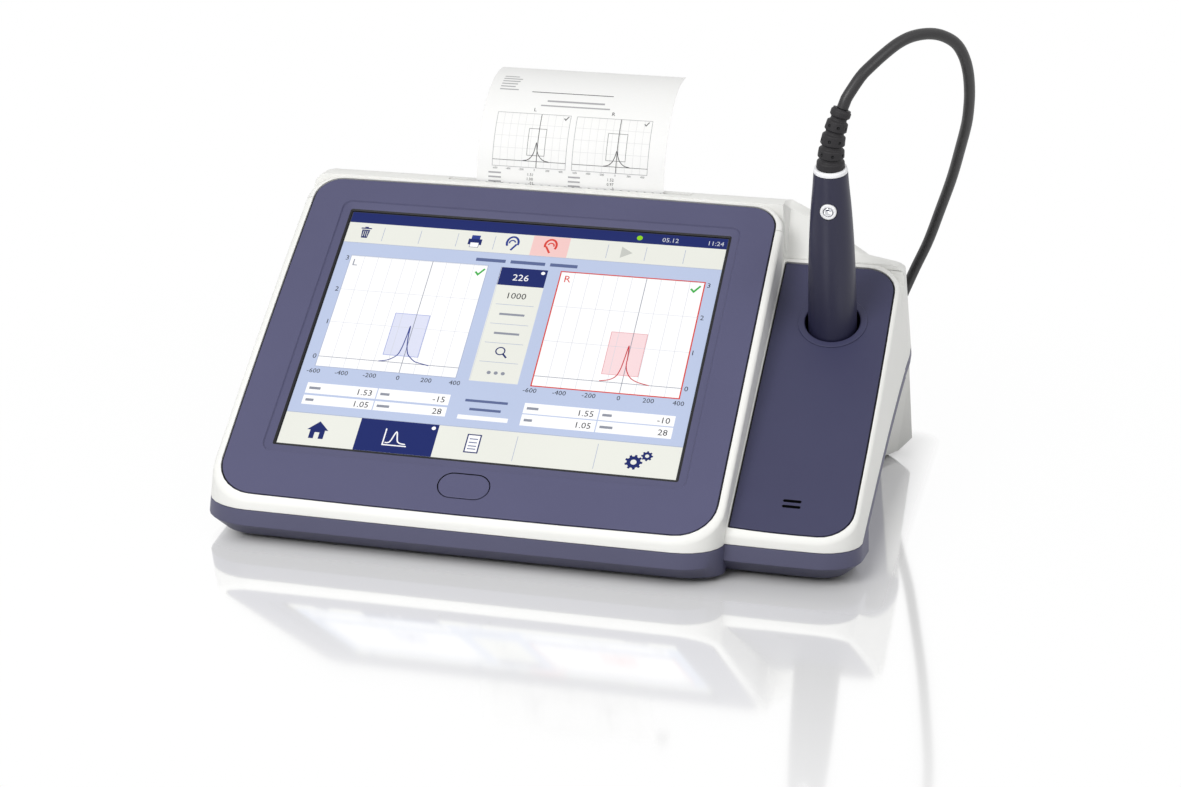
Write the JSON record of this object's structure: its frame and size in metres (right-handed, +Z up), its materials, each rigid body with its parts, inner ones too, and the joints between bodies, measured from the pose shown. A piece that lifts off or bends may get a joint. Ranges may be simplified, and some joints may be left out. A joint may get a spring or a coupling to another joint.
{
  "type": "tympanometer",
  "caption": "Desktop tympanometer with a sloped touch screen, a strip printer behind it, and a hand probe standing in a side cradle on a cord.",
  "frame": {"origin": "middle of the case's footprint box, on the desk under the feet", "axes": "+Z up, -Y towards the user, +X towards the side module with the probe"},
  "size_m": [0.3711, 0.3578, 0.2538],
  "materials": {
    "white_shell": "satin moulded plastic",
    "slate_shell": "satin moulded plastic",
    "slate_bezel": "fine satin moulded plastic",
    "module_panel": "fine satin moulded plastic",
    "button_face": "satin moulded plastic",
    "touch_glass": "clear, anti-glare",
    "display": "lit display face",
    "bracket_metal": "folded sheet",
    "circuit_board": "solder mask",
    "dark_parts": "moulded",
    "cradle_trim": "satin moulded plastic",
    "black_rubber": "matt",
    "screw_steel": "blackened",
    "bright_steel": "satin",
    "motor_metal": "satin",
    "print_paper": "thermal paper",
    "core_card": "plain",
    "probe_shell": "satin moulded plastic",
    "white_collar": "gloss",
    "chrome": "polished",
    "white_gear": "acetal"
  },
  "bodies": {
    "case": {"rear_cover": "white_shell", "upper_frame": "white_shell", "bottom_shell": "slate_shell", "main_bezel": "slate_bezel", "touch_glass": "touch_glass", "lcd_module": "display", "display_bracket": "bracket_metal", "main_board": "circuit_board", "button_switch": "dark_parts", "side_panel": "module_panel", "cradle_ring": "cradle_trim", "cradle_cup": "cradle_trim", "loudspeaker": "dark_parts", "foot_front_left": "black_rubber", "foot_front_right": "black_rubber", "foot_rear_left": "black_rubber", "foot_rear_right": "black_rubber", "case_screw_left": "screw_steel", "case_screw_right": "screw_steel", "printer_well": "white_shell", "print_head": "motor_metal", "tear_bar": "bright_steel", "feed_motor": "motor_metal", "roll_spindle": "dark_parts", "hinge_pin": "bright_steel", "paper_feed": "print_paper", "probe_socket": "bright_steel", "power_jack": "dark_parts", "usb_port": "bright_steel", "pump_unit": "dark_parts", "air_hose": "black_rubber", "cable_coil": "black_rubber", "cable_tail": "black_rubber", "cable_plug": "black_rubber", "probe_cable": "black_rubber"},
    "power_button": {"power_button": "button_face"},
    "probe": {"probe_handle": "probe_shell", "probe_nose": "probe_shell", "probe_collar": "white_collar", "probe_core": "circuit_board", "strain_relief": "black_rubber", "probe_button_ring": "white_collar"},
    "probe_button": {"probe_button": "chrome"},
    "printer_door": {"printer_door": "white_shell", "paper_strip": "print_paper"},
    "platen": {"platen_roller": "black_rubber", "platen_shaft": "bright_steel", "platen_gear": "white_gear"},
    "paper_roll": {"paper_roll": "print_paper", "roll_core": "core_card"},
    "motor_pinion": {"motor_pinion": "white_gear"}
  },
  "joints": [
    {"name": "power_button_press", "type": "slide", "parent": "case", "child": "power_button", "axis": [0, 0.5703, -0.8214], "range_m": [0, 0.0008], "stiffness_N_per_m": 600},
    {"name": "probe_lift", "type": "slide", "parent": "case", "child": "probe", "axis": [-0.0204, -0.2164, 0.9761], "range_m": [0, 0.06], "deforming": ["probe_cable"]},
    {"name": "probe_button_press", "type": "slide", "parent": "probe", "child": "probe_button", "axis": [-0.0045, 0.9763, 0.2164], "range_m": [0, 0.0005], "stiffness_N_per_m": 300},
    {"name": "door_hinge", "type": "hinge", "parent": "case", "child": "printer_door", "pos_m": [-0.03017, 0.10745, 0.10701], "axis": [-1, 0, 0], "range_deg": [0, 75]},
    {"name": "platen_spin", "type": "hinge", "parent": "printer_door", "child": "platen", "pos_m": [-0.03017, 0.06867, 0.13801], "axis": [1, 0, 0], "continuous": true},
    {"name": "paper_roll_spin", "type": "hinge", "parent": "case", "child": "paper_roll", "pos_m": [-0.03017, 0.08325, 0.09802], "axis": [1, 0, 0], "continuous": true},
    {"name": "motor_pinion_spin", "type": "hinge", "parent": "case", "child": "motor_pinion", "pos_m": [-0.03017, 0.0744, 0.1281], "axis": [1, 0, 0], "continuous": true}
  ],
  "couplings": [
    {"joint": "platen_spin", "follows": "paper_roll_spin", "ratio": 2.4286},
    {"joint": "motor_pinion_spin", "follows": "paper_roll_spin", "ratio": -4.8571}
  ]
}
